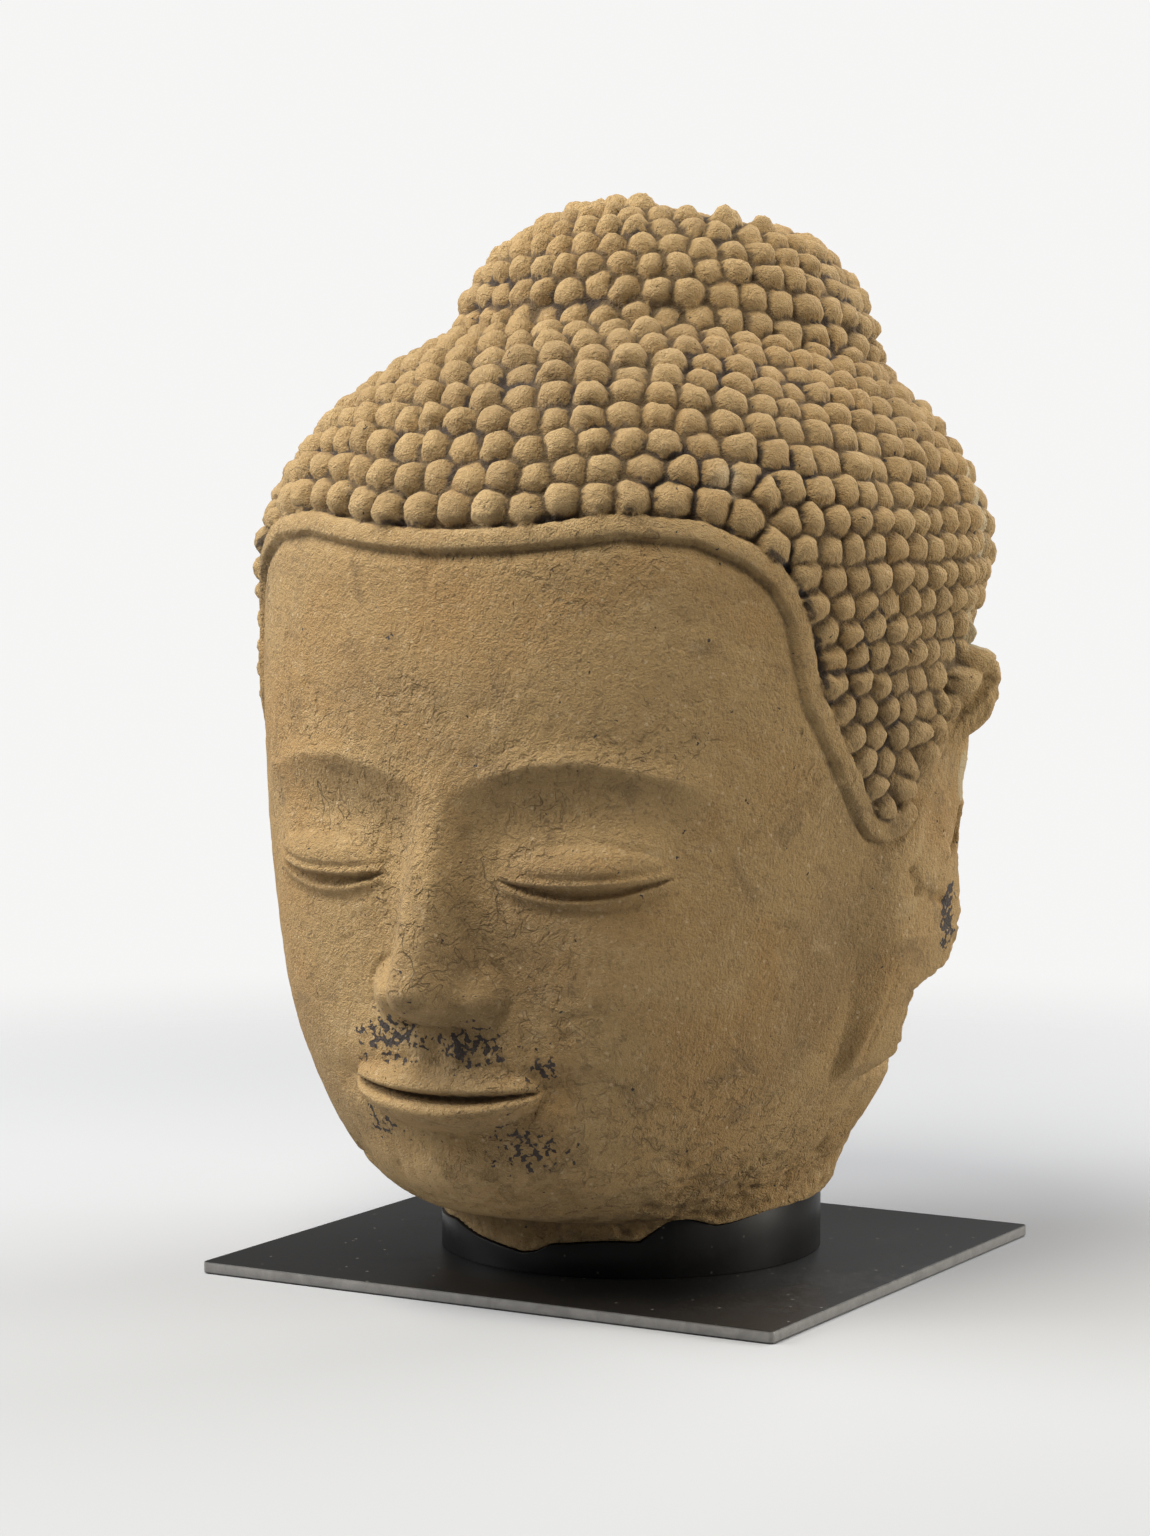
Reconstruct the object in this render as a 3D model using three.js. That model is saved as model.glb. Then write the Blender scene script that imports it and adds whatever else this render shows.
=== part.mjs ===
// Carved sandstone head with snail-shell curls, broken at the neck, on a black steel collar and plate.
// Millimetres, +Z up, the face looks along -Y, the origin is the middle of the plate's underside.
import * as THREE from "three";
import { ConvexHull } from "three/addons/math/ConvexHull.js";

// Steel plate.
const PLATE_WIDTH = 361;
const PLATE_DEPTH = 331;
const PLATE_THICKNESS = 6.35;
const PLATE_CORNER = 3;
const PLATE_CORNER_STEPS = 4;

// Steel collar: a rolled band whose top edge is cut to the line of the break. The edge is given as
// [degrees round from the front towards the head's left, height].
const COLLAR_RADIUS = 109.5;
const COLLAR_WALL = 6.4;
const COLLAR_Y = 8;
const COLLAR_STEPS = 80;
const COLLAR_EDGE = [
  [-180, 40], [-120, 38], [-90, 32], [-58, 25], [-36, 27.4], [-25, 22.4], [-2, 16.6], [4, 23.4],
  [21, 27], [33, 26.5], [39, 39.2], [44, 40.7], [55, 33.7], [73, 39.5], [105, 41], [180, 40],
];
const SEAT_GAP = 0.4;
const SEAT_OUTER = 111;
const SEAT_INNER = 98;
const BREAK_INNER = 55;
const BREAK_RISE = 7;

// Head: half width, depths before and behind the axis, and how each falls away from the widest level.
const HEAD_HALF = 198;
const HEAD_Y = 4;
const WIDEST_Z = 390;
const CROWN_RISE = 150;
const FACE_DEPTH = 206;
const BROW_BULGE = 4;
const BACK_DEPTH = 206;
const JAW_DROP = 386;
const JAW_POWER = 2.9;
const FACE_DROP = 354;
const FACE_POWER = 10;
const BACK_DROP = 330;
const NAPE_NARROWING = 0.14;
const NAPE_FROM_Y = 20;
const NAPE_TO_Y = 90;
const NAPE_FROM_Z = 435;
const NAPE_TO_Z = 320;
const SECTION_POWER = 2.2;
const NECK_RADIUS = 110;
const NECK_FLARE = 0.4;
const NECK_FLARE_Z = 32;
const NECK_TOP = 200;
const BLEND = 0.035;
const KNOT_BLEND = 0.075;
const CORE = new THREE.Vector3(0, 6, 300);

// Top knot: a dome broken off along a plane that falls away to the left and the back.
const KNOT_RADIUS = 118.5;
const KNOT_Y = 46;
const KNOT_FOOT = 508;
const KNOT_HIDDEN = 455;
const KNOT_RISE = 97;
const STRETCH_FROM_Z = 450;
const STRETCH_LENGTH = 60;
const KNOT_STRETCH = 2;
const CUT_Z = 605;
const CUT_FALL_LEFT = 0.153;
const CUT_FALL_BACK = 0.1;
const WORN_Z = 597;
const WORN_RIM = 6;

// Hairline as [degrees from the front, height]; the raised band runs along it as far as BAND_END.
const HAIRLINE = [
  [0, 415], [12, 417], [28, 424], [39, 420.5], [46.6, 409], [51.3, 396], [54.6, 376], [56.2, 350], [57.4, 331],
  [63, 298], [67.5, 272], [70, 262.5], [72.5, 259], [75, 262], [77, 268], [90, 324], [100, 366], [108, 356],
  [113, 250], [122, 198], [180, 172],
];
const BAND_END = 77;
const BAND_HALF = 6.5;
const BAND_LIFT = 5;
const BAND_STEP = 13;
const NAPE_STEP = 18;
const NAPE_EDGE = 9;

// Curls, in rows that lean back.
const ROW_LEAN = 0.13;
const FIRST_ROW = 415;
const FIRST_ROW_DIP = 11;
const KNOT_ROWS = 505;
const ROW_STEP = 17.3;
const CURL_PITCH = 19.6;
const KNOT_ROW_STEP = 15.6;
const KNOT_CURL_PITCH = 17.8;
const CURL_LIFT = 8.5;
const CURL_VALLEY = -1;
const CURL_CROWDING = 0.82;
const FILL_CROWDING = 0.75;
const LAST_ROW = 598;
const CURL_FROM_BAND = 15.5;

// Face by the rule of thirds and fifths.
const HAIR_Z = 410;
const CHIN_Z = 38;
const THIRD = (HAIR_Z - CHIN_Z) / 3;
const BROW_Z = HAIR_Z - THIRD;
const NOSE_Z = BROW_Z - THIRD;
const MOUTH_Z = NOSE_Z - THIRD / 3;
const EYE_WIDTH = HEAD_HALF * 2 / 5;
const EYE_X = EYE_WIDTH;
const EYE_Z = BROW_Z - 0.31 * THIRD;
const EYE_HALF = 0.56 * EYE_WIDTH;
const EYE_TALL = 22;
const EYE_LIFT = 14;
const LID_Z = EYE_Z - 8;
const LID_SAG = 5;
const LID_CUT = 3;
const BROW_START = 8;
const BROW_LENGTH = 135;
const BROW_ARCH = 17;
const BROW_LIFT = 3.5;
const NOSE_TIP_Z = NOSE_Z + 22;
const NOSE_HEIGHT = 44;
const NOSE_ROOT_Z = BROW_Z + 8;
const NOSE_ROOT_HEIGHT = 6;
const NOSE_ROOT_HALF = 24;
const NOSE_WIDENING = 12;
const MOUTH_HALF = 0.75 * EYE_WIDTH;
const MOUTH_CURVE = 5;
const UPPER_LIP = 8;
const LOWER_LIP = 10;
const LIP_LIFT = 8.5;
const LIP_CUT = 7;

// Soft rises and hollows of the face: middle, reach across and up, and height.
const FACE_FORMS = {
  socket: { x: 62, z: EYE_Z + 14, across: 44, up: 22, lift: -12 },
  muzzle: { x: 0, z: MOUTH_Z + 2, across: 62, up: 40, lift: 8 },
  mouthCorner: { x: MOUTH_HALF + 3, z: MOUTH_Z + MOUTH_CURVE, across: 10, up: 9, lift: -3 },
  chinFold: { x: 0, z: MOUTH_Z - 26, across: 44, up: 9, lift: -6 },
  chin: { x: 0, z: CHIN_Z + 28, across: 34, up: 24, lift: 10 },
  cheek: { x: 102, z: NOSE_Z + 22, across: 48, up: 55, lift: 6 },
};
const NOSTRIL = { x: 0.32 * EYE_WIDTH, z: NOSE_Z + 12, across: 13, up: 11, lift: 24 };

// Ear, nearly flush with the cheek: how far it stands out, and where it begins and breaks off, as [height, value].
const EAR_LIFT = [
  [118, 0], [134, 9], [144, 10.5], [170, 12], [200, 13], [223, 10], [237, 8], [274, 6.5], [305, 7.5], [340, 6],
  [376, 0],
];
const EAR_FRONT = [[118, -50], [185, -52], [205, -62], [237, -56], [274, -42], [305, -24], [340, -10], [376, 10]];
const EAR_BACK = [
  [118, -14], [132, -3], [150, -9], [168, -13], [178, 18], [200, 26], [220, 33], [232, 30], [242, 22], [262, 25],
  [286, 23], [301, 30], [312, 36], [330, 36], [352, 33], [376, 24],
];
const EAR_IN_HAIR = 4;
const EAR_FOOT = 118;
const EAR_TOP = 376;
const EAR_BLEND = 10;
const EAR_BREAK = 8;
const BEHIND_EAR = 6;
const BEHIND_EAR_END = 90;

// Stump of the ear's rim, as [y, height], and how far it stands out at its root and its tip.
const STUMP_ROOT = [-12, 305];
const STUMP_TIP = [27, 337];
const STUMP_RADIUS = 20;
const STUMP_ROOT_LIFT = 6;
const STUMP_TIP_LIFT = 23;

// Spacing of the points that carry the plain and the modelled surfaces.
const FACE_GAP = 8;
const PLAIN_GAP = 29;
const EAR_GAP = 12;
const TOP_GAP = 15;

const RADIANS = Math.PI / 180;
const clamp01 = (t) => Math.min(1, Math.max(0, t));
const ease = (from, to, value) => {
  const t = clamp01((value - from) / (to - from));
  return t * t * (3 - 2 * t);
};
const hill = (a, b) => Math.exp(-a * a - b * b);
const cap = (a, b) => Math.sqrt(Math.max(0, 1 - a * a - b * b));

// Height of a broken line of [place, height] pairs.
function along(line, place) {
  const end = line.findIndex((pair, i) => i > 0 && place <= pair[0]);
  const [x0, y0] = line[end - 1];
  const [x1, y1] = line[end];
  return y0 + (y1 - y0) * (place - x0) / (x1 - x0);
}

const hairlineZ = (angle) => along(HAIRLINE, Math.min(180, Math.abs(angle) / RADIANS));
const collarZ = (angle) => along(COLLAR_EDGE, angle / RADIANS);

// Lesser of two levels, rounded off where they meet.
const joined = (a, b, round) => -round * Math.log(Math.exp(-a / round) + Math.exp(-b / round));

// Form of the head without carving: below 1 inside, above 1 outside.
function level(p) {
  const up = clamp01((p.z - WIDEST_Z) / CROWN_RISE);
  const down = Math.max(0, WIDEST_Z - p.z);
  const crown = Math.sqrt(Math.max(1e-6, 1 - up * up));
  const jaw = Math.sqrt(Math.max(1e-6, 1 - clamp01(down / JAW_DROP) ** JAW_POWER));
  const front = Math.max(1e-6, 1 - clamp01(down / FACE_DROP) ** FACE_POWER) ** 0.25;
  const rear = Math.sqrt(Math.max(1e-6, 1 - clamp01(down / BACK_DROP) ** 2));
  const bulge = BROW_BULGE * Math.sin(Math.PI * clamp01(down / 200));
  const nape = NAPE_NARROWING * ease(NAPE_FROM_Y, NAPE_TO_Y, p.y) * ease(NAPE_FROM_Z, NAPE_TO_Z, p.z);
  const half = HEAD_HALF * crown * jaw * (1 - nape);
  const depth = p.y < HEAD_Y ? (FACE_DEPTH + bulge) * crown * front : BACK_DEPTH * crown * rear;
  const side = Math.abs(p.x / half) ** SECTION_POWER;
  const fore = Math.abs((p.y - HEAD_Y) / depth) ** SECTION_POWER;
  const head = up < 1 ? (side + fore) ** (1 / SECTION_POWER) : 9;
  const rise = clamp01((p.z - KNOT_FOOT) / KNOT_RISE);
  const knotRadius = KNOT_RADIUS * Math.max(1e-6, 1 - rise ** SECTION_POWER) ** (1 / SECTION_POWER);
  const inKnot = p.z > KNOT_HIDDEN && p.z < cutZ(p);
  const knot = inKnot ? Math.hypot(p.x, p.y - KNOT_Y) / knotRadius : 9;
  const neckRadius = NECK_RADIUS + NECK_FLARE * Math.max(0, p.z - NECK_FLARE_Z);
  const neck = p.z < NECK_TOP ? Math.hypot(p.x, p.y - COLLAR_Y) / neckRadius : 9;
  return joined(joined(head, knot, KNOT_BLEND), neck, BLEND);
}

function cutZ(p) {
  return CUT_Z - CUT_FALL_LEFT * p.x - CUT_FALL_BACK * p.y;
}

// Where a ray that starts inside the form leaves it.
function leaving(origin, direction) {
  let near = 0;
  let far = 420;
  const p = new THREE.Vector3();
  for (let i = 0; i < 28; i++) {
    const middle = (near + far) / 2;
    p.copy(origin).addScaledVector(direction, middle);
    if (level(p) < 1) near = middle;
    else far = middle;
  }
  return p;
}

function onForm(angle, z) {
  const axis = HEAD_Y + (KNOT_Y - HEAD_Y) * ease(470, 520, z);
  const direction = new THREE.Vector3(Math.sin(angle), -Math.cos(angle), 0);
  return leaving(new THREE.Vector3(0, axis, z), direction);
}

const settle = (p) => leaving(CORE, p.clone().sub(CORE).normalize());
const angleOf = (p) => Math.atan2(p.x, HEAD_Y - p.y);

function normalAt(p) {
  const step = 1.5;
  const slope = (x, y, z) => {
    const offset = new THREE.Vector3(x, y, z).multiplyScalar(step);
    return level(p.clone().add(offset)) - level(p.clone().sub(offset));
  };
  return new THREE.Vector3(slope(1, 0, 0), slope(0, 1, 0), slope(0, 0, 1)).normalize();
}

// Point of a leaning row of curls.
function onRow(height, angle) {
  let low = 120;
  let high = CUT_Z;
  for (let i = 0; i < 18; i++) {
    const middle = (low + high) / 2;
    const p = onForm(angle, middle);
    if (p.z + ROW_LEAN * (p.y - HEAD_Y) < height) low = middle;
    else high = middle;
  }
  return onForm(angle, low);
}

// Raised line of an ear, between two places on the side of the head, as [y, z].
function bar(y, z, from, to, radius) {
  const runY = to[0] - from[0];
  const runZ = to[1] - from[1];
  const t = clamp01(((y - from[0]) * runY + (z - from[1]) * runZ) / (runY * runY + runZ * runZ));
  const away = Math.hypot(y - from[0] - t * runY, z - from[1] - t * runZ) / radius;
  return Math.max(0, 1 - away ** 3) ** 0.6;
}

// Ear: the plate before the break, the stump of the rim fanned out at the top, and the hollow left behind.
function earRelief(y, z) {
  if (z < EAR_FOOT || z > EAR_TOP) return 0;
  const front = along(EAR_FRONT, z);
  const back = along(EAR_BACK, z);
  const plate = along(EAR_LIFT, z) * ease(front - EAR_BLEND, front + EAR_BLEND, y);
  const fanned = ease(STUMP_ROOT[0], STUMP_TIP[0] + STUMP_RADIUS / 2, y);
  const stumpLift = STUMP_ROOT_LIFT + (STUMP_TIP_LIFT - STUMP_ROOT_LIFT) * fanned;
  const stump = stumpLift * bar(y, z, STUMP_ROOT, STUMP_TIP, STUMP_RADIUS);
  const behind = ease(back - 1, back + EAR_BREAK - 1, y);
  const hollow = BEHIND_EAR * behind * ease(BEHIND_EAR_END, BEHIND_EAR_END - 30, y);
  return Math.max(plate, stump) * (1 - behind) - hollow;
}

const swell = (form, side, z) => form.lift * hill((side - form.x) / form.across, (z - form.z) / form.up);
const mouthZ = (x) => MOUTH_Z + MOUTH_CURVE * (x / MOUTH_HALF) ** 2;
const lidZ = (side) => LID_Z - LID_SAG * Math.max(0, 1 - ((side - EYE_X) / EYE_HALF) ** 2);

function noseRelief(side, z) {
  const toTip = clamp01((NOSE_ROOT_Z - z) / (NOSE_ROOT_Z - NOSE_TIP_Z));
  const under = clamp01((NOSE_TIP_Z - z) / (NOSE_TIP_Z - NOSE_Z + 3));
  const start = ease(NOSE_ROOT_Z + 16, NOSE_ROOT_Z - 10, z);
  const ridge = (NOSE_ROOT_HEIGHT + (NOSE_HEIGHT - NOSE_ROOT_HEIGHT) * toTip ** 1.15) * start * cap(under, 0);
  const half = NOSE_ROOT_HALF + NOSE_WIDENING * toTip;
  const bridge = side < half ? ridge * (0.5 + 0.5 * Math.cos(Math.PI * side / half)) : 0;
  return Math.max(bridge, swell(NOSTRIL, side, z));
}

function lipRelief(side, z) {
  const full = Math.max(0, 1 - (side / MOUTH_HALF) ** 2);
  const above = z - mouthZ(side);
  const lips = hill(0, (above - UPPER_LIP) / 7) + hill(0, (above + LOWER_LIP) / 8);
  return full ** 0.6 * (LIP_LIFT * lips - LIP_CUT * hill(0, above / 3));
}

// Modelling of the face, towards the viewer.
function faceRelief(x, z) {
  const side = Math.abs(x);
  const eye = (side - EYE_X) / EYE_HALF;
  const open = Math.max(0, 1 - eye * eye);
  const arch = Math.sin(Math.PI * clamp01((side - BROW_START) / BROW_LENGTH));
  const soft = Object.values(FACE_FORMS).reduce((sum, form) => sum + swell(form, side, z), 0);
  const brow = BROW_LIFT * arch * hill(0, (z - BROW_Z + 3 - BROW_ARCH * arch) / 7);
  const ball = EYE_LIFT * Math.max(0, open - ((z - EYE_Z + 2) / EYE_TALL) ** 2);
  const lid = LID_CUT * open * hill(0, (z - lidZ(side)) / 3);
  return soft + brow + ball - lid + noseRelief(side, z) + lipRelief(side, z);
}

// All points of the head's surface, as they are laid out: where each sits on the form, and what it carries.
const sites = [];

function add(p, kind, gap = 0) {
  const free = gap === 0 || sites.every((site) => site.p.distanceToSquared(p) > gap * gap);
  if (free) sites.push({ p, kind });
  return free;
}

// Break that stands on the collar, and its rim.
function layBreak() {
  for (let i = 0; i < COLLAR_STEPS; i++) {
    const angle = Math.PI * (2 * i / COLLAR_STEPS - 1);
    const z = collarZ(angle) + SEAT_GAP;
    const ring = (radius, height) => new THREE.Vector3(
      radius * Math.sin(angle), COLLAR_Y - radius * Math.cos(angle), height);
    add(ring(SEAT_OUTER, z), "fixed");
    add(ring(SEAT_INNER, z), "fixed");
    if (i % 5 === 0) add(ring(BREAK_INNER, z + BREAK_RISE * (1 + Math.sin(3 * angle))), "fixed");
  }
  add(new THREE.Vector3(0, COLLAR_Y, collarZ(0) + 2 * BREAK_RISE), "fixed");
}

// Points of the hairline between two turns from the front, in degrees.
function hairlinePath(from, to) {
  const path = [];
  for (let degrees = from; degrees <= to; degrees += 0.25) {
    const angle = degrees * RADIANS;
    path.push(onForm(angle, hairlineZ(angle)));
  }
  return path;
}

// Evenly spaced points of a path, each with the direction across it that leads up into the hair.
function stepsAlong(path, step) {
  const walk = [];
  path.forEach((p) => {
    const last = walk[walk.length - 1];
    if (!last || last.distanceTo(p) >= step) walk.push(p);
  });
  return walk.map((p, i) => {
    const before = walk[Math.max(0, i - 1)];
    const after = walk[Math.min(walk.length - 1, i + 1)];
    return { p, across: normalAt(p).cross(after.clone().sub(before)).normalize() };
  });
}

// Raised band along the hairline: its crest and both its edges. Returns the line of the crest.
function layBand() {
  const path = hairlinePath(-BAND_END, BAND_END);
  const steps = stepsAlong(path, BAND_STEP);
  steps.forEach(({ p }) => add(p, "band"));
  for (const { p, across } of steps) {
    for (const way of [-BAND_HALF, BAND_HALF]) {
      add(settle(p.clone().addScaledVector(across, way)), "edge", BAND_HALF - 1);
    }
  }
  return path;
}

// Lower edge of the hair behind the ears and across the nape.
function layNape() {
  for (const [from, to] of [[-180, -108], [108, 180]]) {
    for (const { p, across } of stepsAlong(hairlinePath(from, to), NAPE_STEP)) {
      add(settle(p.clone().addScaledVector(across, -NAPE_EDGE)), "plain", NAPE_EDGE);
    }
  }
}

// Curls: first along the inside of the band, then in leaning rows, staggered.
function layCurls(band) {
  const curls = [];
  const inHair = (p) => {
    const clear = band.every((b) => b.distanceTo(p) > CURL_FROM_BAND - 0.5);
    const ear = earRelief(p.y, p.z) > EAR_IN_HAIR || earRelief(p.y - CURL_LIFT, p.z) > EAR_IN_HAIR;
    const worn = p.z > Math.min(WORN_Z, cutZ(p) - WORN_RIM);
    return p.z > hairlineZ(angleOf(p)) + 4 && clear && !ear && !worn;
  };
  const tryCurl = (p, gap) => {
    if (!inHair(p) || curls.some((c) => c.distanceTo(p) < gap)) return;
    curls.push(p);
    add(p, "curl");
  };
  band.forEach((p, i) => {
    const next = band[Math.min(band.length - 1, i + 1)];
    const last = band[Math.max(0, i - 1)];
    const across = normalAt(p).cross(next.clone().sub(last)).normalize();
    tryCurl(settle(p.clone().addScaledVector(across, CURL_FROM_BAND + 1)), CURL_PITCH);
  });
  for (const [row, height] of rowHeights().entries()) {
    const onKnot = height > KNOT_ROWS;
    const pitch = onKnot ? KNOT_CURL_PITCH : CURL_PITCH;
    const dip = FIRST_ROW_DIP * clamp01((KNOT_ROWS - height) / (KNOT_ROWS - FIRST_ROW));
    let girth = 0;
    let last = onRow(height, 0);
    for (let degrees = 6; degrees <= 360; degrees += 6) {
      const p = onRow(height, degrees * RADIANS);
      girth += p.distanceTo(last);
      last = p;
    }
    const count = Math.round(girth / pitch);
    for (let i = 0; i < count; i++) {
      const turn = 2 * Math.PI * (i + 0.5 * (row % 2)) / count;
      const angle = turn > Math.PI ? turn - 2 * Math.PI : turn;
      const fore = height < FIRST_ROW ? 0 : 1 - ease(6, 28, Math.abs(angle) / RADIANS);
      tryCurl(onRow(height - dip * fore, angle), pitch * CURL_CROWDING);
    }
  }
  for (let z = HAIRLINE[HAIRLINE.length - 1][1]; z < WORN_Z; z += 3) {
    const pitch = z > KNOT_ROWS ? KNOT_CURL_PITCH : CURL_PITCH;
    for (let degrees = -180; degrees < 180; degrees += 2) {
      tryCurl(onForm(degrees * RADIANS, z), pitch * FILL_CROWDING);
    }
  }
}

// Heights of the rows, stepped evenly along the slope between the front and the side.
function rowHeights() {
  const angle = 50 * RADIANS;
  const heights = [FIRST_ROW];
  for (const way of [1, -1]) {
    let walked = 0;
    let last = onRow(FIRST_ROW, angle);
    for (let height = FIRST_ROW + way; height < LAST_ROW && height > 150; height += way) {
      const p = onRow(height, angle);
      walked += p.distanceTo(last);
      last = p;
      if (walked >= (height > KNOT_ROWS ? KNOT_ROW_STEP : ROW_STEP)) {
        heights.push(height);
        walked = 0;
      }
    }
  }
  return heights.sort((a, b) => b - a);
}

// Broken and worn top of the knot.
function layTop() {
  for (let radius = 0; radius < KNOT_RADIUS; radius += TOP_GAP) {
    const count = Math.max(1, Math.round(2 * Math.PI * radius / TOP_GAP));
    for (let i = 0; i < count; i++) {
      const angle = 2 * Math.PI * i / count;
      const p = settle(new THREE.Vector3(radius * Math.sin(angle), KNOT_Y + radius * Math.cos(angle), CUT_Z));
      if (p.z > WORN_Z - TOP_GAP) add(p, "plain", 0.7 * TOP_GAP);
    }
  }
}

function layEars() {
  for (const side of [-1, 1]) {
    for (let z = EAR_FOOT + 8; z < EAR_TOP; z += EAR_GAP) {
      for (let y = -70; y < 62; y += EAR_GAP) {
        const near = [-EAR_GAP, 0, EAR_GAP].some((step) => earRelief(y + step, z) > 0);
        const p = leaving(new THREE.Vector3(0, y, z), new THREE.Vector3(side, 0, 0));
        if (near) add(p, "plain", 0.8 * EAR_GAP);
      }
    }
  }
}

// Lines of the closed lids, of the mouth and of the fullest part of each lip.
function layFaceLines() {
  for (let x = -MOUTH_HALF; x <= MOUTH_HALF + 1; x += MOUTH_HALF / 7) {
    add(onFace(x, mouthZ(x)), "plain");
    const within = Math.abs(x) < 0.9 * MOUTH_HALF;
    if (within) add(onFace(x, mouthZ(x) + UPPER_LIP), "plain");
    if (within) add(onFace(x, mouthZ(x) - LOWER_LIP), "plain");
  }
  for (const side of [-1, 1]) {
    for (let u = -0.9; u <= 0.91; u += 0.18) {
      const x = EYE_X + u * EYE_HALF;
      add(onFace(side * x, lidZ(x)), "plain");
    }
  }
}

const onFace = (x, z) => leaving(new THREE.Vector3(x, HEAD_Y, z), new THREE.Vector3(0, -1, 0));

// Rest of the surface: close-set points where the face is modelled, wide-set ones on plain stone.
function layPlain() {
  for (let z = CHIN_Z + 6; z < BROW_Z + BROW_ARCH; z += FACE_GAP) {
    for (let x = 0; x < EYE_X + EYE_HALF; x += FACE_GAP) {
      const modelled = x < MOUTH_HALF - 4 || (z > LID_Z - EYE_TALL && x < EYE_X + EYE_HALF);
      if (modelled && add(onFace(x, z), "plain", 0.72 * FACE_GAP) && x > 0) add(onFace(-x, z), "plain");
    }
  }
  for (let z = CHIN_Z - 4; z < HAIR_Z + 15; z += PLAIN_GAP / 2) {
    for (let degrees = 0; degrees <= 180; degrees += 5) {
      for (const side of [-1, 1]) {
        const angle = side * degrees * RADIANS;
        const bare = z < hairlineZ(angle) - 6 && z > collarZ(angle) + 9;
        if (bare) add(onForm(angle, z), "plain", 0.78 * PLAIN_GAP);
      }
    }
  }
}

// Joins points into triangles as seen from the core, with the steep wall of the knot drawn out so that it is seen well.
function trianglesOf(points) {
  const index = new Map();
  const directions = points.map((p, i) => {
    const direction = p.clone().sub(CORE);
    const start = Math.min(STRETCH_LENGTH, Math.max(0, p.z - STRETCH_FROM_Z));
    const rest = Math.max(0, p.z - STRETCH_FROM_Z - STRETCH_LENGTH);
    direction.z += (KNOT_STRETCH - 1) * (start * start / (2 * STRETCH_LENGTH) + rest);
    direction.normalize();
    index.set(direction, i);
    return direction;
  });
  const hull = new ConvexHull().setFromPoints(directions);
  return hull.faces.map((face) => [0, 1, 2].map((k) => index.get(face.getEdge(k).head().point)));
}

// Bottoms of the dimples between curls: one in the middle of every three that stand together.
function layDimples() {
  const curlTriangles = trianglesOf(sites.map((site) => site.p))
    .filter((corners) => corners.every((i) => sites[i].kind === "curl"));
  for (const [a, b, c] of curlTriangles) {
    const middle = sites[a].p.clone().add(sites[b].p).add(sites[c].p).divideScalar(3);
    add(settle(middle), "dimple");
  }
}

function carved({ p, kind }) {
  if (kind === "fixed" || kind === "edge") return p;
  const lifts = { curl: CURL_LIFT, band: BAND_LIFT, dimple: CURL_VALLEY };
  if (kind in lifts) return p.clone().addScaledVector(normalAt(p), lifts[kind]);
  const angle = angleOf(p);
  const toFront = new THREE.Vector3(Math.sin(angle / 2), -Math.cos(angle / 2), 0);
  const toSide = new THREE.Vector3(Math.sign(p.x), 0.2, 0);
  const onFront = p.y < -40 && p.z > CHIN_Z && p.z < HAIR_Z ? faceRelief(p.x, p.z) : 0;
  const onSide = Math.abs(p.x) > 110 ? earRelief(p.y, p.z) : 0;
  return p.clone().addScaledVector(toFront, onFront).addScaledVector(toSide, onSide);
}

function meshOf(name, positions, triangles, material) {
  const geometry = new THREE.BufferGeometry();
  const numbers = positions.flatMap((p) => [p.x, p.y, p.z]);
  geometry.setAttribute("position", new THREE.Float32BufferAttribute(numbers, 3));
  geometry.setIndex(triangles.flat());
  geometry.computeVertexNormals();
  const mesh = new THREE.Mesh(geometry, new THREE.MeshStandardMaterial(material));
  mesh.name = name;
  return mesh;
}

function makeHead() {
  layBreak();
  const band = layBand();
  layCurls(band);
  layNape();
  layTop();
  layEars();
  layFaceLines();
  layPlain();
  layDimples();
  const triangles = trianglesOf(sites.map((site) => site.p));
  return meshOf("head", sites.map(carved), triangles, { color: 0x9b7d52, roughness: 0.9, metalness: 0 });
}

function makeCollar() {
  const points = [];
  const triangles = [];
  for (let i = 0; i < COLLAR_STEPS; i++) {
    const angle = Math.PI * (2 * i / COLLAR_STEPS - 1);
    const top = collarZ(angle);
    const inner = COLLAR_RADIUS - COLLAR_WALL;
    const foot = PLATE_THICKNESS;
    for (const [r, z] of [[COLLAR_RADIUS, foot], [COLLAR_RADIUS, top], [inner, top], [inner, foot]]) {
      points.push(new THREE.Vector3(r * Math.sin(angle), COLLAR_Y - r * Math.cos(angle), z));
    }
    for (let k = 0; k < 4; k++) {
      const a = 4 * i + k;
      const b = 4 * i + (k + 1) % 4;
      const c = (a + 4) % (4 * COLLAR_STEPS);
      const d = (b + 4) % (4 * COLLAR_STEPS);
      triangles.push([a, c, b], [b, c, d]);
    }
  }
  return meshOf("collar", points, triangles, { color: 0x1c1c1e, roughness: 0.45, metalness: 0.3 });
}

function makePlate() {
  const outline = new THREE.Shape();
  const x = PLATE_WIDTH / 2 - PLATE_CORNER;
  const y = PLATE_DEPTH / 2 - PLATE_CORNER;
  const corners = [[x, y, 0], [-x, y, 90], [-x, -y, 180], [x, -y, 270]];
  for (const [cx, cy, start] of corners) {
    outline.absarc(cx, cy, PLATE_CORNER, start * RADIANS, (start + 90) * RADIANS, false);
  }
  const geometry = new THREE.ExtrudeGeometry(outline, {
    depth: PLATE_THICKNESS, bevelEnabled: false, curveSegments: PLATE_CORNER_STEPS,
  });
  const material = new THREE.MeshStandardMaterial({ color: 0x18181a, roughness: 0.5, metalness: 0.3 });
  const mesh = new THREE.Mesh(geometry, material);
  mesh.name = "base_plate";
  return mesh;
}

const part = new THREE.Group();
part.name = "buddha_head_sculpture";
part.add(makePlate(), makeCollar(), makeHead());
export default part;
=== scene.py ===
import math

import bmesh
import bpy
import numpy as np
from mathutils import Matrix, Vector, kdtree, noise


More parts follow.
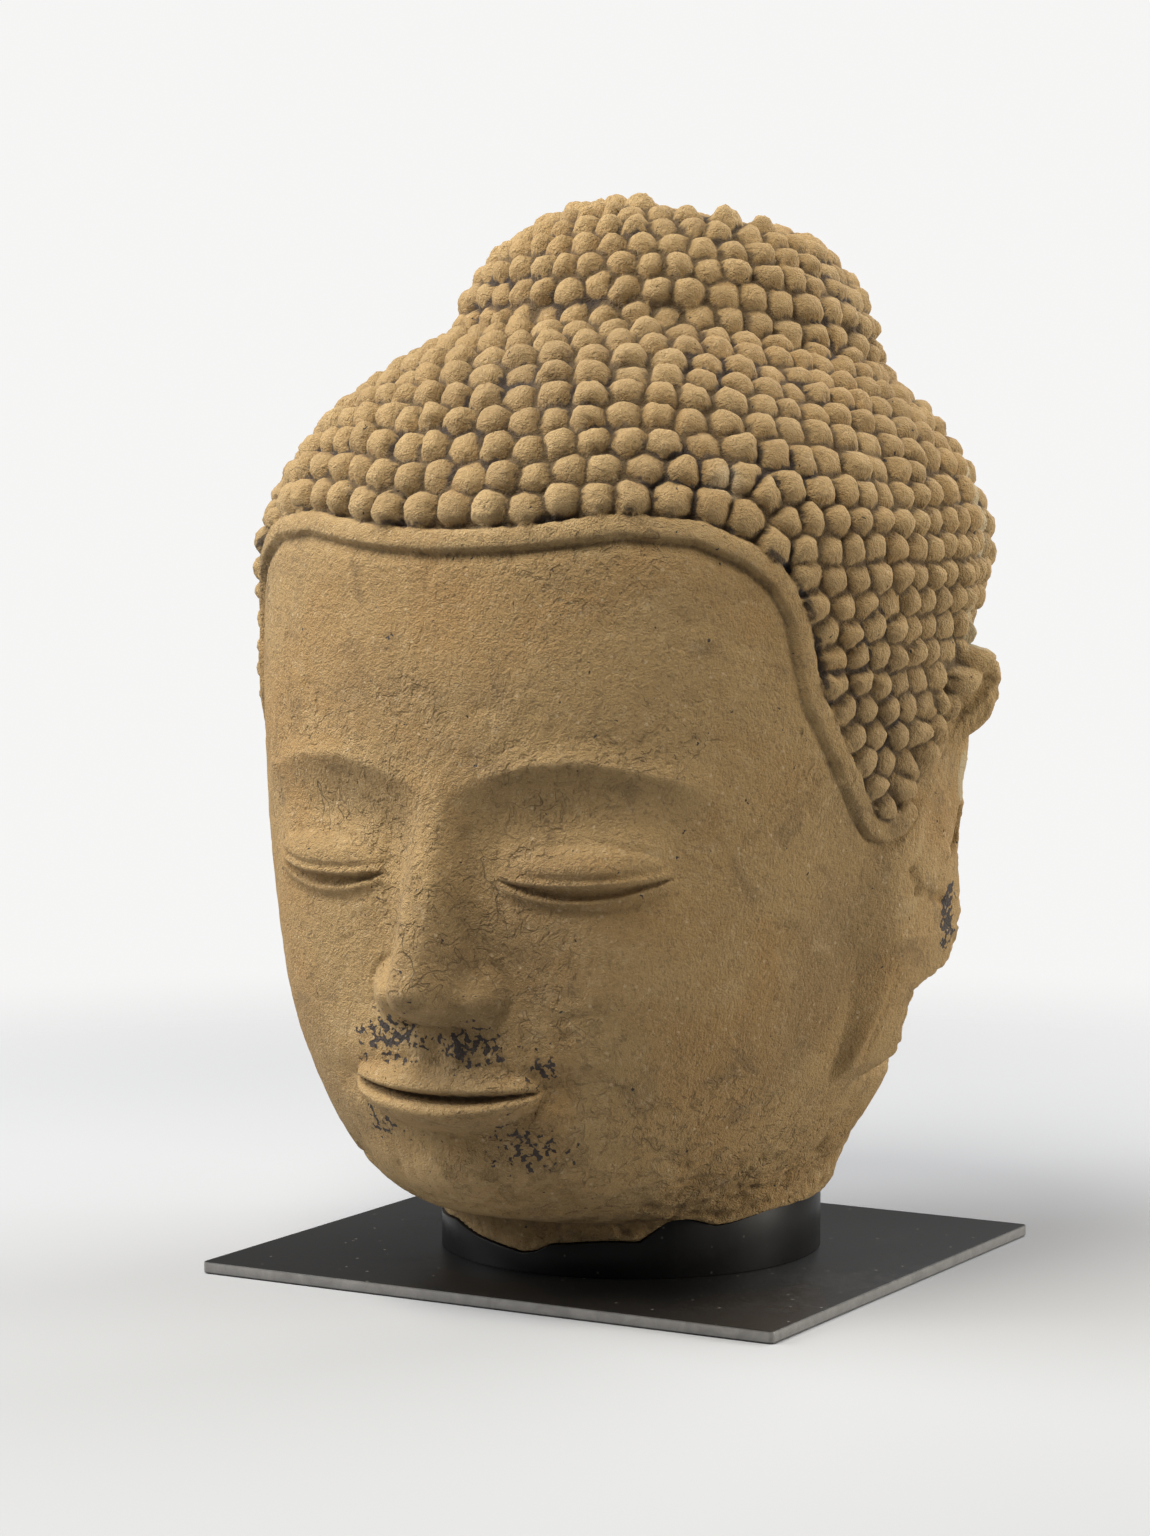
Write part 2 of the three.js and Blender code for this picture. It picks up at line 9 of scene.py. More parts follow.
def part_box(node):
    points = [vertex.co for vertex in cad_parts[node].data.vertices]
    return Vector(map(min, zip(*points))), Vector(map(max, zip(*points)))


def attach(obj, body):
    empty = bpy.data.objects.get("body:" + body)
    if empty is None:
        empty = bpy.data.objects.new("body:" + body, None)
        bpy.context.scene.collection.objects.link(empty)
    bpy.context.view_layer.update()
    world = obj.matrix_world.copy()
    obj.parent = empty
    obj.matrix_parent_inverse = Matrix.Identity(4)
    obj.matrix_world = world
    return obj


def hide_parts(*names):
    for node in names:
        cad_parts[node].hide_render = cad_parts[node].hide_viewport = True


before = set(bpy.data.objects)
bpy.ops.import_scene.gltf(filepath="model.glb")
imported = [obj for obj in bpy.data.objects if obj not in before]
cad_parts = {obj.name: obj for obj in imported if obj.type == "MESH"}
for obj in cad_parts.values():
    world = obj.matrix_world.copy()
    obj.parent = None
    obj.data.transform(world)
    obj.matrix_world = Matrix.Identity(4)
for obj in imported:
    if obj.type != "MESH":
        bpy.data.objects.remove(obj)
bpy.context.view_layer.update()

# The base plate: a flat square of quarter-inch steel, its corners eased and its edges broken with a file,
# then painted satin black. It lies on the floor and carries the collar, which stands behind its middle.

PLATE_CORNER = 0.003
PLATE_ARRIS = 0.0007


def clear_selection():
    if bpy.context.object and bpy.context.object.mode != "OBJECT":
        bpy.ops.object.mode_set(mode="OBJECT")
    bpy.ops.object.select_all(action="DESELECT")


def take(piece):
    clear_selection()
    piece.select_set(True)
    bpy.context.view_layer.objects.active = piece


def pick_edges(piece, wanted):
    take(piece)
    bpy.ops.object.mode_set(mode="EDIT")
    bpy.ops.mesh.select_mode(type="EDGE")
    bpy.ops.mesh.select_all(action="DESELECT")
    grid = bmesh.from_edit_mesh(piece.data)
    for edge in grid.edges:
        a, b = (v.co for v in edge.verts)
        edge.select_set(bool(wanted(a, b)))
    bmesh.update_edit_mesh(piece.data)


def modify(piece, kind, **settings):
    take(piece)
    modifier = piece.modifiers.new(kind.lower(), kind)
    for key, value in settings.items():
        setattr(modifier, key, value)
    bpy.ops.object.modifier_apply(modifier=modifier.name)


class Tone:
    """A socket whose value can be worked with in sums."""

    def __init__(self, finish, socket):
        self.finish = finish
        self.socket = socket

    def sum(self, operation, *values):
        return self.finish.node("ShaderNodeMath", {"operation": operation}, dict(enumerate(values)))

    def __add__(self, other):
        return self.sum("ADD", self, other)

    def __radd__(self, other):
        return self.sum("ADD", other, self)

    def __sub__(self, other):
        return self.sum("SUBTRACT", self, other)

    def __rsub__(self, other):
        return self.sum("SUBTRACT", other, self)

    def __mul__(self, other):
        return self.sum("MULTIPLY", self, other)

    def __rmul__(self, other):
        return self.sum("MULTIPLY", other, self)

    def __pow__(self, other):
        return self.sum("POWER", self, other)

    def between(self, low, high):
        """0 below low, 1 above high, smooth on the way."""
        settings = {"interpolation_type": "SMOOTHSTEP"}
        return self.finish.node("ShaderNodeMapRange", settings, {"Value": self, "From Min": low, "From Max": high})


class Finish:
    """A material under way."""

    def __init__(self, name):
        self.material = bpy.data.materials.new(name)
        self.material.use_nodes = True
        self.tree = self.material.node_tree
        self.shader = next(n for n in self.tree.nodes if n.type == "BSDF_PRINCIPLED")
        self.place = self.node("ShaderNodeTexCoord", {}, {}, "Object")

    def node(self, kind, settings, inputs, output=0):
        made = self.tree.nodes.new(kind)
        for key, value in settings.items():
            setattr(made, key, value)
        for key, value in inputs.items():
            self.feed(made.inputs[key], value)
        return Tone(self, made.outputs[output])

    def feed(self, socket, value):
        if isinstance(value, Tone):
            self.tree.links.new(value.socket, socket)
        elif isinstance(value, tuple) and socket.type == "RGBA" and len(value) == 3:
            socket.default_value = (*value, 1)
        else:
            socket.default_value = value

    def noise(self, scale, detail=4, roughness=0.55, distortion=0.0, place=None):
        inputs = {"Vector": place or self.place, "Scale": scale, "Detail": detail}
        inputs |= {"Roughness": roughness, "Distortion": distortion}
        return self.node("ShaderNodeTexNoise", {}, inputs)

    def attribute(self, name):
        return self.node("ShaderNodeAttribute", {"attribute_name": name}, {}, "Fac")

    def mix(self, factor, below, above):
        return self.node("ShaderNodeMix", {"data_type": "RGBA"}, {0: factor, 6: below, 7: above}, 2)

    def bump(self, height, distance, strength):
        inputs = {"Height": height, "Distance": distance, "Strength": strength}
        return self.node("ShaderNodeBump", {}, inputs)

    def set(self, **inputs):
        for key, value in inputs.items():
            self.feed(self.shader.inputs[key.replace("_", " ")], value)


def black_paint(name, shine, dust_amount, dust_scale):
    """Satin black, with a painted sheen: upright faces are painted lighter grey where a piece marks them."""
    paint = Finish(name)
    painted_sheen = paint.attribute("edge")
    cloud = paint.noise(9, 5, 0.6)
    rub = paint.noise(60, 6, 0.7, 1.5)
    cells = {"Vector": paint.place, "Scale": dust_scale, "Randomness": 1.0}
    speck = paint.node("ShaderNodeTexVoronoi", {}, cells, "Distance")
    lot = paint.node("ShaderNodeTexVoronoi", {}, cells, "Color")
    chosen = paint.node("ShaderNodeSeparateColor", {}, {"Color": lot}, "Red").between(0.74, 0.76)
    dust = (1 - speck.between(0.05, 0.16)) * chosen * dust_amount
    haze = cloud.between(0.42, 0.75) * rub.between(0.35, 0.7)
    coat = paint.mix(haze * 0.5, (0.0075, 0.0072, 0.0072), (0.0135, 0.013, 0.0125))
    # Painted sheen: the marked upright faces are painted lighter grey, patchy with the rub noise.
    coat = paint.mix(painted_sheen * (0.35 + rub), coat, (0.19, 0.183, 0.175))
    paint.set(Base_Color=paint.mix(dust, coat, (0.2, 0.185, 0.16)), Metallic=0.0)
    paint.set(Specular_IOR_Level=shine, Roughness=0.36 + 0.16 * haze + 0.3 * dust)
    paint.set(Normal=paint.bump(rub, 0.0002, 0.12))
    return paint.material


low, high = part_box("base_plate")
clear_selection()
bpy.ops.mesh.primitive_cube_add(size=1, location=(low + high) / 2, scale=high - low)
plate = bpy.context.object
plate.name = "plate"
bpy.ops.object.transform_apply(location=True, rotation=True, scale=True)
pick_edges(plate, lambda a, b: abs(a.z - b.z) > 0.005)
bpy.ops.mesh.bevel(offset=PLATE_CORNER, segments=5)
pick_edges(plate, lambda a, b: abs(a.z - b.z) < 1e-6 and min(
    abs(abs((a.x + b.x) / 2) - high.x), abs(abs((a.y + b.y) / 2) - high.y)) < PLATE_CORNER)
bpy.ops.mesh.bevel(offset=PLATE_ARRIS, segments=2)
take(plate)
bpy.ops.object.shade_smooth_by_angle(angle=math.radians(25))
# Painted sheen: each face is marked by how upright it stands, and the paint lightens it to grey.
sheen_on_sides = plate.data.attributes.new("edge", "FLOAT", "FACE")
for face, mark in zip(plate.data.polygons, sheen_on_sides.data):
    mark.value = 1 - abs(face.normal.z)
plate.data.materials.append(black_paint("plate_paint", 0.34, 0.55, 130))
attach(plate, "root")
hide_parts("base_plate")

# The collar: a band cut from steel pipe, which stands on the plate and is painted with it. Its top edge is ground
# to the line of the break in the neck, so that the stone beds on it all round.

COLLAR_STEPS = 240
COLLAR_RADIUS = 109.5
COLLAR_WALL = 6.4
COLLAR_Y = 8.0


def points_of(piece):
    flat = np.empty(len(piece.data.vertices) * 3, dtype=np.float32)
    piece.data.vertices.foreach_get("co", flat)
    return flat.reshape(-1, 3).astype(float) * 1000


def put_points(piece, points):
    piece.data.vertices.foreach_set("co", (points / 1000).astype(np.float32).ravel())
    piece.data.update()


def round_collar(points):
    return np.arctan2(points[:, 0], COLLAR_Y - points[:, 1])


cut = points_of(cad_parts["collar"])
foot = cut[:, 2].min()
cut = cut[(np.hypot(cut[:, 0], cut[:, 1] - COLLAR_Y) > COLLAR_RADIUS - 1) & (cut[:, 2] > foot + 1)]
cut = cut[np.argsort(round_collar(cut))]
rim_turns, rim_heights = round_collar(cut), cut[:, 2]


def rim_z(turn):
    return np.interp(turn, rim_turns, rim_heights, period=2 * math.pi)


clear_selection()
bpy.ops.mesh.primitive_cylinder_add(
    vertices=COLLAR_STEPS, radius=COLLAR_RADIUS / 1000, depth=0.03, end_fill_type="NOTHING",
    location=(0, COLLAR_Y / 1000, foot / 1000 + 0.015))
collar = bpy.context.object
collar.name = "steel_collar"
bpy.ops.object.transform_apply(location=True, rotation=True, scale=True)
band = points_of(collar)
upper = band[:, 2] > foot + 5
band[upper, 2] = rim_z(round_collar(band[upper]))
put_points(collar, band)
modify(collar, "SOLIDIFY", thickness=COLLAR_WALL / 1000, offset=-1, use_even_offset=True)
modify(collar, "BEVEL", width=0.0006, segments=2, limit_method="ANGLE", angle_limit=math.radians(50))
take(collar)
bpy.ops.object.shade_smooth_by_angle(angle=math.radians(35))
collar.data.materials.append(black_paint("collar_paint", 0.12, 0.25, 160))
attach(collar, "root")
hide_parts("collar")

# The head: one block of fine sandstone, carved with a raised band along the hairline and close-set curls, and
# rubbed smooth. It is broken at the neck, at the ears and at the top of the knot; flakes of old lacquer stay.

HEAD_HALF, HEAD_DEPTH, HEAD_Y, WIDEST_Z = 198.0, 206.0, 4.0, 390.0
CROWN_RISE, JAW_DROP, FACE_DROP, REAR_DROP = 150.0, 386.0, 354.0, 330.0
NAPE_NARROWING = 0.14
NECK_RADIUS, NECK_FLARE, NECK_FOOT, NECK_TOP = 110.0, 0.4, 32.0, 200.0
KNOT_BLEND, NECK_BLEND = 0.1, 0.035
CORE = np.array((0.0, 6.0, 300.0))
KNOT_RADIUS, KNOT_Y, KNOT_FOOT, KNOT_RISE = 118.5, 46.0, 508.0, 97.0
SECTION = 2.2
HAIRLINE = np.array((
    (0, 415), (12, 417), (28, 424), (39, 420.5), (46.6, 409), (51.3, 396), (54.6, 376), (56.2, 350), (57.4, 331),
    (63, 298), (67.5, 272), (70, 262.5), (72.5, 259), (75, 262), (77, 268), (90, 324), (100, 366), (108, 356),
    (113, 250), (122, 198), (180, 172)))
BAND_END = 77
SEAT_GAP = 0.4
SEAT_INNER = 98.0


def ease(start, end, value):
    t = np.clip((value - start) / (end - start), 0, 1)
    return t * t * (3 - 2 * t)


def hill(a, b=0.0):
    return np.exp(-a * a - b * b)


def hairline_z(turn):
    return np.interp(np.abs(np.degrees(turn)), HAIRLINE[:, 0], HAIRLINE[:, 1])


def cut_z(p):
    return 605 - 0.153 * p[:, 0] - 0.1 * p[:, 1]


def seat_z(p):
    """Underside of the break: it beds on the collar, and is hollowed and rough within."""
    out = np.hypot(p[:, 0], p[:, 1] - COLLAR_Y)
    turn = round_collar(p)
    within = np.clip(1 - (out / SEAT_INNER) ** 2, 0, 1)
    mid = 26 + 4 * np.sin(3 * turn) * within
    lean = ease(0.0, 0.35, within)
    return (rim_z(turn) + SEAT_GAP) * (1 - lean) + lean * mid + 9 * within


def joined(a, b, rounding):
    """Lesser of two levels, rounded off where they meet."""
    return -rounding * np.log(np.exp(-a / rounding) + np.exp(-b / rounding))


def level(p):
    """Form of the stone without its carving: below 1 inside, above 1 outside."""
    x, y, z = p.T
    up = np.clip((z - WIDEST_Z) / CROWN_RISE, 0, 1)
    down = np.maximum(0, WIDEST_Z - z)
    crown = np.sqrt(np.maximum(1e-6, 1 - up * up))
    jaw = np.sqrt(np.maximum(1e-6, 1 - np.clip(down / JAW_DROP, 0, 1) ** 2.9))
    front = np.maximum(1e-6, 1 - np.clip(down / FACE_DROP, 0, 1) ** 10) ** 0.25
    rear = np.sqrt(np.maximum(1e-6, 1 - np.clip(down / REAR_DROP, 0, 1) ** 2))
    bulge = 4 * np.sin(np.pi * np.clip(down / 200, 0, 1))
    depth = np.where(y < HEAD_Y, (HEAD_DEPTH + bulge) * front, HEAD_DEPTH * rear) * crown
    nape = 1 - NAPE_NARROWING * ease(20, 90, y) * ease(435, 320, z)
    half = HEAD_HALF * crown * jaw * nape
    head_in = (np.abs(x / half) ** SECTION + np.abs((y - HEAD_Y) / depth) ** SECTION) ** (1 / SECTION)
    head_in = np.where(up < 1, head_in, 9)
    rise = np.clip((z - KNOT_FOOT) / KNOT_RISE, 0, 1)
    knot_in = np.hypot(x, y - KNOT_Y) / (KNOT_RADIUS * np.maximum(1e-6, 1 - rise ** SECTION) ** (1 / SECTION))
    knot_in = np.where((z > 455) & (z < cut_z(p)), knot_in, 9)
    neck_in = np.hypot(x, y - COLLAR_Y) / (NECK_RADIUS + NECK_FLARE * np.maximum(0, z - NECK_FOOT))
    neck_in = np.where(z < NECK_TOP, neck_in, 9)
    return np.where(z < seat_z(p), 9, joined(joined(head_in, knot_in, KNOT_BLEND), neck_in, NECK_BLEND))


def leaving(start, way):
    """Where rays from inside the stone come out of it."""
    near = np.zeros(len(way))
    far = np.full(len(way), 460.0)
    for _ in range(24):
        middle = (near + far) / 2
        inside = level(start + way * middle[:, None]) < 1
        near = np.where(inside, middle, near)
        far = np.where(inside, far, middle)
    return start + way * near[:, None]


def face_turn(p):
    return np.arctan2(p[:, 0], HEAD_Y - p[:, 1])


def outward(p):
    """Unit normals of the plain form."""
    slope = np.stack([level(p + step) - level(p - step) for step in 1.5 * np.eye(3)], axis=1)
    return slope / np.linalg.norm(slope, axis=1)[:, None]


# Face of the head, laid out by thirds from hairline to chin and by fifths across.

CHIN_Z = 38.0
THIRD = (410 - CHIN_Z) / 3
BROW_Z = 410 - THIRD
NOSE_Z = BROW_Z - THIRD
MOUTH_Z = NOSE_Z - THIRD / 3
EYE_X = HEAD_HALF * 2 / 5
EYE_HALF = 0.56 * EYE_X
EYE_Z = BROW_Z - 0.31 * THIRD
LID_Z = EYE_Z - 8
MOUTH_HALF = 0.75 * EYE_X
SOFT_FORMS = (
    # middle across, middle up, reach across, reach up, lift
    (62, EYE_Z + 14, 44, 22, -12), (0, MOUTH_Z + 2, 62, 40, 8), (MOUTH_HALF + 3, MOUTH_Z + 5, 10, 9, -3),
    (0, MOUTH_Z - 26, 44, 9, -6), (0, CHIN_Z + 28, 34, 24, 10), (102, NOSE_Z + 22, 48, 55, 6))


def eye_relief(side, z):
    u = (side - EYE_X) / EYE_HALF
    open_ = np.clip(1 - u * u, 0, 1)
    rise = z - EYE_Z
    ball = 13 * open_ ** 0.85 * hill(rise / np.where(rise > 0, 19, 15))
    upper = LID_Z - 5 * open_ + 1.5 * u
    lower = upper - 5.5 * open_
    slit = ease(-0.8, 0.8, z - lower) * ease(-0.8, 0.8, upper - z) * ease(0, 0.1, open_)
    fold = upper + 4 + 20 * open_ ** 0.8
    rims = 1.8 * hill((z - upper - 2) / 1.9) - 1.1 * hill((z - upper - 5.4) / 1.5)
    rims += 1.5 * hill((z - lower + 2.4) / 2.3) - 1.2 * hill((z - lower + 8) / 3.5)
    return ball - 3.6 * slit + np.sqrt(open_) * rims - 1.7 * open_ ** 0.4 * hill((z - fold) / 2)


def nose_relief(side, z):
    root, tip = BROW_Z + 8, NOSE_Z + 20
    to_tip = np.clip((root - z) / (root - tip), 0, 1)
    under = np.clip((tip - z) / (tip - NOSE_Z + 3), 0, 1)
    ridge = (5 + 37 * to_tip ** 1.2) * ease(root + 16, root - 14, z) * np.sqrt(1 - under ** 2)
    bridge = ridge * (1 - ease(0.12, 1, side / (22 + 13 * to_tip)))
    ball = 39 * hill(side / 17, (z - tip + 2) / 15)
    wing = 21 * hill((side - 0.3 * EYE_X) / 14, (z - NOSE_Z - 13) / 13)
    whole = 4 * (np.logaddexp(np.logaddexp(bridge / 4, ball / 4), wing / 4) - math.log(3))
    ring = np.hypot((side - 23) / 20, (z - NOSE_Z - 14) / 19)
    crease = 1.8 * hill((ring - 1) / 0.12) * ease(26, 36, side) * ease(-8, 4, z - NOSE_Z)
    hole = 7 * hill((side - 13) / 6.5, (z - NOSE_Z - 1) / 4.5)
    return whole - crease - hole


def lip_relief(side, z):
    across = side / MOUTH_HALF
    full = np.clip(1 - across ** 2, 0, 1)
    above = z - MOUTH_Z - 6 * across ** 2
    upper = (15 * full ** 0.7 + 2.2 * hill((side - 11) / 8)) * ease(1.02, 0.9, across) + 1e-3
    lower = 20 * full ** 0.6 + 1e-3
    swell = 9 * np.sin(np.pi * np.clip(above / upper, 0, 1) ** 0.62)
    swell += 11.5 * np.sin(np.pi * np.clip(-above / lower, 0, 1) ** 0.72)
    edge = 1.9 * hill((above - upper) / 1.7) - 1.2 * hill((above - upper - 4) / 2.2)
    edge -= 2.4 * hill((above + lower + 2) / 4)
    groove = 6 * hill(above / 2.2) * full ** 0.3
    furrow = 2.6 * hill(side / 5.5, (z - NOSE_Z + 13) / 11) - 1.4 * hill((side - 11) / 4.5, (z - NOSE_Z + 14) / 12)
    return full ** 0.4 * (swell + edge) - groove - furrow


def face_relief(p):
    side, z = np.abs(p[:, 0]), p[:, 2]
    out = sum(lift * hill((side - x) / across, (z - up) / tall) for x, up, across, tall, lift in SOFT_FORMS)
    arch = np.sin(np.pi * np.clip((side - 8) / 135, 0, 1))
    brow = z - BROW_Z + 3 - 17 * arch
    out += arch ** 0.7 * (3 * hill(brow / 8) + 1.3 * hill((brow - 1) / 2.4))
    return out + eye_relief(side, z) + nose_relief(side, z) + lip_relief(side, z)


# Ears of the head: each lies nearly flush with the cheek. The stump of the rim fans out at the top, the long lobe
# hangs straight below with a sharp front edge, and behind them all the rest of the ear is broken away.

EAR_LIFT = np.array((
    (118, 0), (128, 9), (140, 10.5), (170, 12), (200, 13), (223, 10), (237, 8), (274, 6.5), (305, 7.5), (340, 6),
    (366, 3)))
EAR_FRONT = np.array(((130, -50), (185, -52), (205, -62), (237, -56), (274, -42), (305, -24), (340, -10), (366, 6)))
EAR_BACK = np.array((
    (118, -14), (132, -3), (150, -9), (168, -13), (178, 18), (200, 26), (220, 33), (232, 30), (242, 22), (262, 25),
    (286, 23), (301, 30), (312, 36), (330, 36), (352, 33), (376, 24)))


def bar(y, z, start, end, radius, power=3.0):
    run = np.subtract(end, start)
    t = np.clip(((y - start[0]) * run[0] + (z - start[1]) * run[1]) / (run @ run), 0, 1)
    away = np.hypot(y - start[0] - t * run[0], z - start[1] - t * run[1]) / radius
    return np.maximum(0, 1 - away ** power) ** 0.6


def ear_relief(p):
    y, z = p[:, 1], p[:, 2]
    front = np.interp(z, *EAR_FRONT.T)
    blend = np.interp(z, (138, 162, 190), (2, 7, 17))
    lift = np.interp(z, *EAR_LIFT.T) * ease(front - blend, front + blend, y)
    fan = bar(y, z, (-12, 305), (27, 337), 19, 7) * (6 + 17 * ease(-12, 37, y))
    lift = np.maximum(lift, fan)
    lift -= 4.5 * bar(y, z, (-14, 306), (-1, 338), 3.2) + 3.5 * bar(y, z, (4, 320), (22, 336), 5)
    lift -= 5 * bar(y, z, (19, 264), (16, 250), 4) + 4 * bar(y, z, (16, 250), (9, 242), 3)
    lift -= 2.2 * bar(y, z, (-36, 236), (-30, 224), 3) + 2.2 * bar(y, z, (-30, 224), (0, 217), 3)
    lift += 2.5 * bar(y, z, (-22, 232), (-4, 236), 14)
    lift -= 1.5 * bar(y, z, (-38, 186), (-42, 138), 3.4) * ease(194, 165, z)
    back = np.interp(z, *EAR_BACK.T)
    behind = ease(back - 1, back + 7, y) * ease(114, 126, z) * ease(376, 364, z)
    return lift * (1 - behind) - 6 * behind * ease(90, 60, y)


clear_selection()
bpy.ops.mesh.primitive_ico_sphere_add(subdivisions=8, radius=0.2)
head = bpy.context.object
head.name = "stone_head"


def rays_of(piece):
    way = points_of(piece)
    return way / np.linalg.norm(way, axis=1)[:, None]


def corners_of(piece):
    """Three vertex numbers for each triangle."""
    corners = np.empty(len(piece.data.loops), dtype=np.int32)
    piece.data.loops.foreach_get("vertex_index", corners)
    return corners.reshape(-1, 3)


def refine(piece, fine):
    """Cuts the faces of a piece finer where all their corners are marked."""
    mesh = piece.data
    ends = np.empty(len(mesh.edges) * 2, dtype=np.int32)
    mesh.edges.foreach_get("vertices", ends)
    mesh.vertices.foreach_set("select", fine)
    mesh.edges.foreach_set("select", fine[ends.reshape(-1, 2)].all(axis=1))
    mesh.polygons.foreach_set("select", fine[corners_of(piece)].all(axis=1))
    bpy.ops.object.mode_set(mode="EDIT")
    bpy.ops.mesh.select_mode(type="FACE")
    bpy.ops.mesh.subdivide(number_cuts=1)
    bpy.ops.mesh.select_all(action="SELECT")
    bpy.ops.mesh.quads_convert_to_tris()
    bpy.ops.object.mode_set(mode="OBJECT")


HAIR_FACES, PLAIN_FACES = 110000, 82000
bare = leaving(CORE, rays_of(head))
side, up = np.abs(bare[:, 0]), bare[:, 2]
at_eyes = (np.abs(side - EYE_X) < EYE_HALF + 6) & (np.abs(up - EYE_Z + 4) < 26)
at_nose = (side < 44) & (up > NOSE_Z - 8) & (up < NOSE_Z + 40)
at_mouth = (side < MOUTH_HALF + 8) & (np.abs(up - MOUTH_Z) < 24)
at_face = (at_eyes | at_nose | at_mouth) & (bare[:, 1] < -60)
in_hair = (up > hairline_z(face_turn(bare)) - 8) & ((np.abs(face_turn(bare)) < 2.2) | (up > 470))
at_ear = (side > 120) & (np.abs(bare[:, 1] + 15) < 60) & (up > 115) & (up < 380)
refine(head, at_face | in_hair | at_ear)
bare = leaving(CORE, rays_of(head))
bare_out = outward(bare)
turn = face_turn(bare)
facing = np.stack((np.sin(turn / 2), -np.cos(turn / 2), 0 * turn), axis=1)
on_face = ease(-30, -70, bare[:, 1]) * ease(CHIN_Z, CHIN_Z + 12, bare[:, 2]) * ease(418, 405, bare[:, 2])
sideways = np.stack((np.sign(bare[:, 0]), 0 * turn + 0.15, 0 * turn), axis=1)
on_side = ease(100, 120, np.abs(bare[:, 0]))

crest_turns = np.radians(np.arange(-BAND_END, BAND_END + 0.1, 0.25))
starts = np.stack((0 * crest_turns, 0 * crest_turns + HEAD_Y, hairline_z(crest_turns)), axis=1)
crest = leaving(starts, np.stack((np.sin(crest_turns), -np.cos(crest_turns), 0 * crest_turns), axis=1))


def tree_of(places):
    tree = kdtree.KDTree(len(places))
    for i, place in enumerate(places):
        tree.insert(place, i)
    tree.balance()
    return tree


crest_tree = tree_of(crest)


def from_crest(points):
    """Distance of points from the middle line of the hair band."""
    near = (np.abs(np.degrees(face_turn(points))) < BAND_END + 8) & (points[:, 2] > 235) & (points[:, 2] < 450)
    away = np.full(len(points), 99.0)
    away[near] = [crest_tree.find(place)[2] for place in points[near]]
    return away


away = from_crest(bare)
ribbon = 3.6 * np.clip(1 - (away / 6.4) ** 5, 0, 1) ** 0.6 - 1.4 * hill((away - 7.6) / 1.4)
stone = bare + facing * (face_relief(bare) * on_face)[:, None]
stone += sideways * (ear_relief(bare) * on_side)[:, None] + bare_out * ribbon[:, None]

# Curls of the head: cushions in close rows, each set on a knob of the block. They meet in narrow grooves, and none
# is quite the size, height or tilt of the next.

CURL_LIFT = 8.5
GROOVE_ROUND = 0.85
WORN_LOSS, WORN_SHARE = 2.8, 0.09
SEAT_SPACING, SEAT_CLEAR = 14.0, 13.0
FRONT_END = 44.0
SIDE_FOOT, SIDE_TOP, SIDE_ROW_STEP = 268.0, 442.0, 14.2
SIDE_END, SIDE_PITCH, SIDE_START = 118.0, 4.9, 4.2


def knobs_of(node):
    """Places of the curls under the tips that the block has for them."""
    points = np.unique(np.round(points_of(node), 2), axis=0)
    points = points[points[:, 2] > hairline_z(face_turn(points)) + 3]
    under = points - CURL_LIFT * outward(points)
    return under[np.abs(level(under) - 1) < 0.026]


def with_gaps_filled(seats, ground, spacing):
    """Adds seats on the ground wherever it is left bare for more than a spacing."""
    gap = np.min([np.linalg.norm(ground - seat, axis=1) for seat in seats], axis=0)
    while gap.max() > spacing:
        seats = np.vstack((seats, ground[gap.argmax()]))
        gap = np.minimum(gap, np.linalg.norm(ground - seats[-1], axis=1))
    return seats


def side_rows():
    """Seats of the smaller curls over the temples, in level rows from the hair band back to the ear."""
    rows = []
    front = HAIRLINE[4:14]
    for k, z in enumerate(np.arange(SIDE_FOOT, SIDE_TOP, SIDE_ROW_STEP)):
        first = np.interp(-z, -front[:, 1], front[:, 0])
        turns = np.radians(np.arange(first + SIDE_START + 2.4 * (k % 2) * (z > 400), SIDE_END, SIDE_PITCH))
        turns = turns[z > hairline_z(turns) + 8]
        rows += [(sign * turn, z) for turn in turns for sign in (-1, 1)]
    turns, z = np.array(rows).T
    starts = np.stack((0 * z, 0 * z + HEAD_Y, z), axis=1)
    return leaving(starts, np.stack((np.sin(turns), -np.cos(turns), 0 * z), axis=1))


def settled(seats, ground, rounds):
    """Moves each seat to the middle of the ground that is nearest to it."""
    for _ in range(rounds):
        tree = tree_of(seats)
        own = np.array([tree.find(place)[1] for place in ground])
        count = np.bincount(own, minlength=len(seats))[:, None]
        middle = np.stack([np.bincount(own, ground[:, k], len(seats)) for k in range(3)], axis=1)
        seats = np.where(count > 0, middle / np.maximum(1, count), seats)
    return seats


seats = knobs_of(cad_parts["head"])
small = side_rows()
seat_turn = np.abs(np.degrees(face_turn(seats)))
seats = seats[(seat_turn < FRONT_END) | (seat_turn > SIDE_END) | (seats[:, 2] > SIDE_TOP)]
from_small = np.min([np.linalg.norm(seats - place, axis=1) for place in small], axis=0)
seats = np.vstack((seats[from_small > SEAT_CLEAR], small))
ground = bare[(away > 9) & (bare[:, 2] > hairline_z(turn) + 4) & (bare[:, 2] < cut_z(bare) - 4)][::9]
seats = settled(with_gaps_filled(seats, ground, SEAT_SPACING), ground, 2)
seeded = np.random.default_rng(7)
seats += seeded.uniform(-1.5, 1.5, seats.shape)
reach = np.where(seats[:, 2] > 512, 10.8, 11.6) * seeded.uniform(0.95, 1.06, len(seats))
height = CURL_LIFT * np.interp(np.abs(face_turn(seats)), (0.7, 1.0), (1, 0.86))
height += seeded.uniform(-1.8, 0.7, len(seats))
height -= WORN_LOSS * (seeded.random(len(seats)) > 1 - WORN_SHARE)
by_ear = hill((np.abs(seats[:, 0]) - 200) / 25, (seats[:, 1] + 6) / 24) * hill((seats[:, 2] - 346) / 34)
height -= 5.5 * by_ear * seeded.random(len(seats))
CHIPPED = np.array(((134, -135, 445), (8, -187, 444), (131, -28, 501), (95, -160, 452)))
PATCHED = np.array(((182, 74, 432), (176, 84, 446), (188, 70, 414)))


